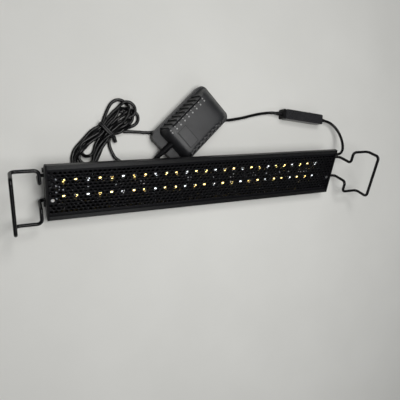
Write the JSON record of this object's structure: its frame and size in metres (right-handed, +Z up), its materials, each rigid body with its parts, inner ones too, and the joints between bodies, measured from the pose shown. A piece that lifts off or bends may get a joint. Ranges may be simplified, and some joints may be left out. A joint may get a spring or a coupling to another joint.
{
  "type": "aquarium light bar",
  "caption": "Slim black light bar with sliding wire hooks for a tank rim, an inline control pod, a bundled lead and a plug-in wall adapter.",
  "frame": {"origin": "bottom centre of the bar with its two wire brackets, on the table they lie on", "axes": "+X along the bar towards the end its lead leaves, +Y across the bar towards the wall adapter, +Z up from the table"},
  "size_m": [0.3922, 0.1316, 0.0551],
  "materials": {
    "anodised": "black anodised, satin",
    "cap_plastic": "satin black",
    "black_screw": "black oxide",
    "grille_metal": "black, punched",
    "clear_sheet": "clear acrylic",
    "seal_rubber": "soft grey",
    "bright_screw": "plated steel",
    "board_mask": "dark solder mask",
    "phosphor": "yellow phosphor gel",
    "led_clear": "clear gel",
    "chip_black": "ceramic chip",
    "wire_dark": "insulated wire",
    "bush_plastic": "nylon",
    "bracket_wire": "black coated wire",
    "gland_rubber": "satin black",
    "lead_jacket": "satin black",
    "controller_gloss": "satin black",
    "controller_cap": "satin black",
    "circuit_green": "solder mask",
    "button_rubber": "matt black",
    "tie_plastic": "black",
    "adapter_satin": "dark grey, satin",
    "plate_plastic": "dark grey, smooth",
    "circuit_tan": "paper laminate",
    "transformer_tape": "yellow tape",
    "capacitor_blue": "sleeved",
    "blade_nickel": "nickel plated",
    "prong_plastic": "black"
  },
  "bodies": {
    "root": {"housing": "anodised", "end_cap_left": "cap_plastic", "end_cap_right": "cap_plastic", "end_cap_screws": "black_screw", "front_grille": "grille_metal", "clear_cover": "clear_sheet", "cover_seal": "seal_rubber", "grille_screws": "bright_screw", "led_board": "board_mask", "leds_white": "phosphor", "leds_blue": "led_clear", "board_resistors": "chip_black", "board_screws": "bright_screw", "inner_wires": "wire_dark", "leg_bushes": "bush_plastic", "bar_gland": "gland_rubber", "lead_to_controller": "lead_jacket", "controller_upper_case": "controller_gloss", "controller_lower_case": "controller_gloss", "controller_end_cap": "controller_cap", "controller_board": "circuit_green", "controller_grommets": "gland_rubber", "lead_under_adapter": "lead_jacket", "cord_hank": "lead_jacket", "twist_tie": "tie_plastic", "lead_to_adapter": "lead_jacket", "adapter_strain_relief": "gland_rubber", "adapter_upper_shell": "adapter_satin", "adapter_lower_shell": "adapter_satin", "adapter_label_plate": "plate_plastic", "adapter_board": "circuit_tan", "adapter_transformer": "transformer_tape", "adapter_capacitors": "capacitor_blue"},
    "bracket_left": {"bracket_left": "bracket_wire"},
    "bracket_right": {"bracket_right": "bracket_wire"},
    "button": {"controller_button": "button_rubber"},
    "plug": {"prong_blades": "blade_nickel", "prong_bar": "prong_plastic", "prong_pin": "bright_screw"}
  },
  "joints": [
    {"name": "bracket_right_slide", "type": "slide", "parent": "root", "child": "bracket_right", "axis": [1, 0, 0], "range_m": [-0.016, 0.075]},
    {"name": "bracket_left_slide", "type": "slide", "parent": "root", "child": "bracket_left", "axis": [-1, 0, 0], "range_m": [-0.001, 0.09]},
    {"name": "button_press", "type": "slide", "parent": "root", "child": "button", "axis": [-0.1357, -0.9907, 0], "range_m": [0, 0.0005], "stiffness_N_per_m": 300},
    {"name": "blades_fold", "type": "hinge", "parent": "root", "child": "plug", "pos_m": [-0.04113, 0.04363, 0.007], "axis": [-0.6561, 0.7547, 0], "range_deg": [0, 90]}
  ]
}
